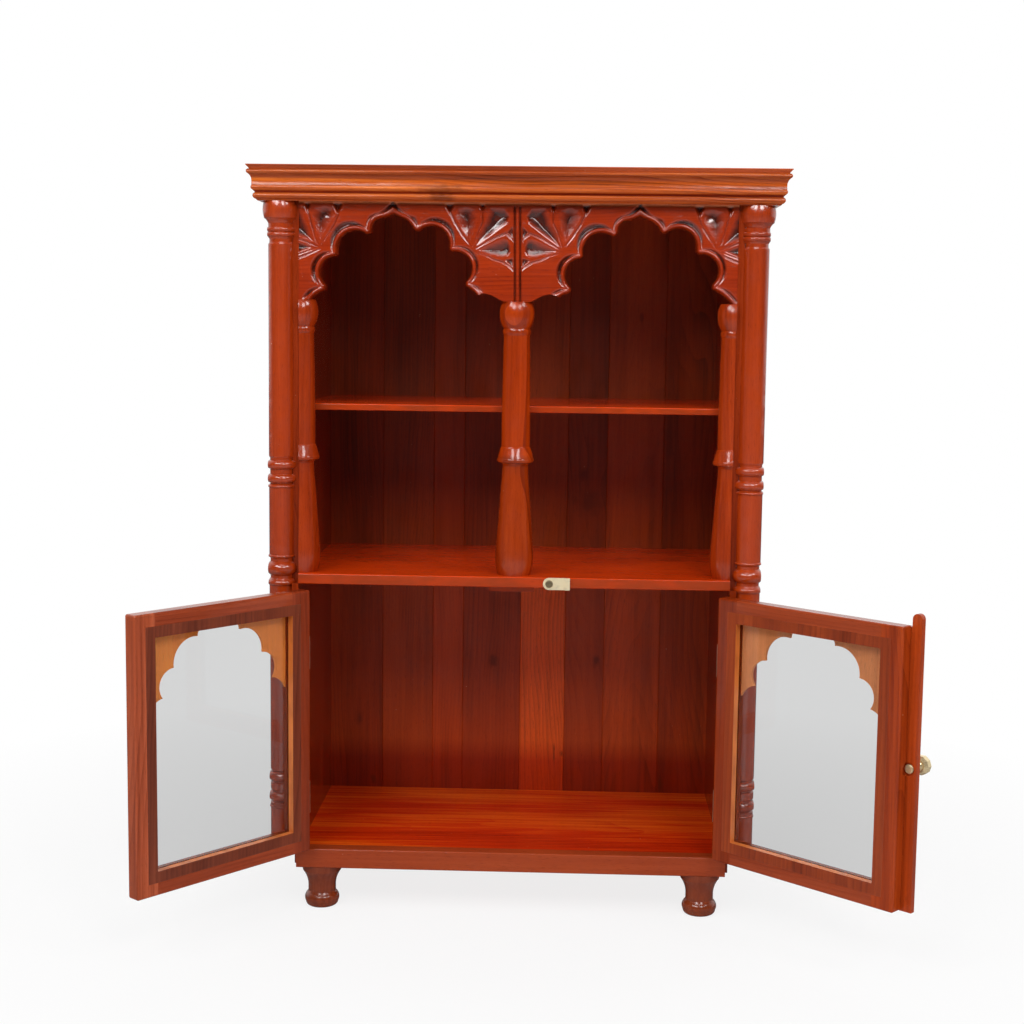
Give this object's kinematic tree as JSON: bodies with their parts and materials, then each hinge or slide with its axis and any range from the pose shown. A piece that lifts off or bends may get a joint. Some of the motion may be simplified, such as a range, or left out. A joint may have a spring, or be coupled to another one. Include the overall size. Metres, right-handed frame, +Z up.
{
  "type": "carved wooden cabinet",
  "caption": "Small red-brown wooden cabinet with cusped carved arches and turned columns over shelves, above a cupboard with glazed doors.",
  "frame": {"origin": "on the floor, at the middle of the body's width and depth", "axes": "+Z up, +X to the right as seen from the front, +Y to the back, so the front faces -Y"},
  "size_m": [0.8968, 0.5044, 0.914],
  "materials": {
    "stained_wood": "red-brown stain under glossy lacquer",
    "plank_wood": "darker red-brown stain, satin lacquer",
    "carved_wood": "carved, red-brown stain under glossy lacquer",
    "turned_wood": "turned, red-brown stain under glossy lacquer",
    "door_wood": "red-brown stain under glossy lacquer",
    "bead_wood": "thin stain, satin",
    "raw_wood": "bare tan wood behind, stained in front",
    "clear_glass": "clear flat glass",
    "polished_brass": "pale polished brass",
    "zinc_steel": "brassed steel, dulled"
  },
  "bodies": {
    "carcass": {"arch_panel": "carved_wood", "back_plank_1": "plank_wood", "back_plank_2": "plank_wood", "back_plank_3": "plank_wood", "back_plank_4": "plank_wood", "back_plank_5": "plank_wood", "back_plank_6": "plank_wood", "back_plank_7": "plank_wood", "back_plank_8": "plank_wood", "base_back_rail": "stained_wood", "base_front_board": "stained_wood", "button_screw": "polished_brass", "ceiling_board": "stained_wood", "centre_column": "turned_wood", "colonnette_left": "turned_wood", "colonnette_right": "turned_wood", "cornice_front": "stained_wood", "cornice_left": "stained_wood", "cornice_right": "stained_wood", "door_stop": "stained_wood", "floor_board": "stained_wood", "foot_back_left": "turned_wood", "foot_back_right": "turned_wood", "foot_bearer_left": "stained_wood", "foot_bearer_right": "stained_wood", "foot_front_left": "turned_wood", "foot_front_right": "turned_wood", "frame_hinge_leaves_left": "zinc_steel", "frame_hinge_leaves_right": "zinc_steel", "hinge_pins_left": "zinc_steel", "hinge_pins_right": "zinc_steel", "post_left": "turned_wood", "post_right": "turned_wood", "side_panel_left": "stained_wood", "side_panel_right": "stained_wood", "top_board": "stained_wood", "upper_shelf": "stained_wood", "waist_shelf": "stained_wood"},
    "left_door": {"left_door_arch_spandrels": "raw_wood", "left_door_bottom_rail": "door_wood", "left_door_glass": "clear_glass", "left_door_glazing_beads": "bead_wood", "left_door_hinge_leaves": "zinc_steel", "left_door_hinge_stile": "door_wood", "left_door_lock_stile": "door_wood", "left_door_top_rail": "door_wood"},
    "right_door": {"right_door_arch_spandrels": "raw_wood", "right_door_bottom_rail": "door_wood", "right_door_glass": "clear_glass", "right_door_glazing_beads": "bead_wood", "right_door_hinge_leaves": "zinc_steel", "right_door_hinge_stile": "door_wood", "right_door_lock_stile": "door_wood", "right_door_top_rail": "door_wood", "meeting_strip": "door_wood", "knob": "polished_brass", "knob_screw": "polished_brass"},
    "turn_button": {"turn_button": "polished_brass"}
  },
  "joints": [
    {"name": "left_door_hinge", "type": "hinge", "parent": "carcass", "child": "left_door", "pos_m": [-0.2592, -0.1492, 0.24], "axis": [0, 0, 1], "range_deg": [-40, 130]},
    {"name": "right_door_hinge", "type": "hinge", "parent": "carcass", "child": "right_door", "pos_m": [0.2592, -0.1492, 0.24], "axis": [0, 0, 1], "range_deg": [-137, 33]},
    {"name": "turn_button_pivot", "type": "hinge", "parent": "carcass", "child": "turn_button", "pos_m": [0.0437, -0.1472, 0.4173], "axis": [0, 1, 0], "continuous": true}
  ]
}
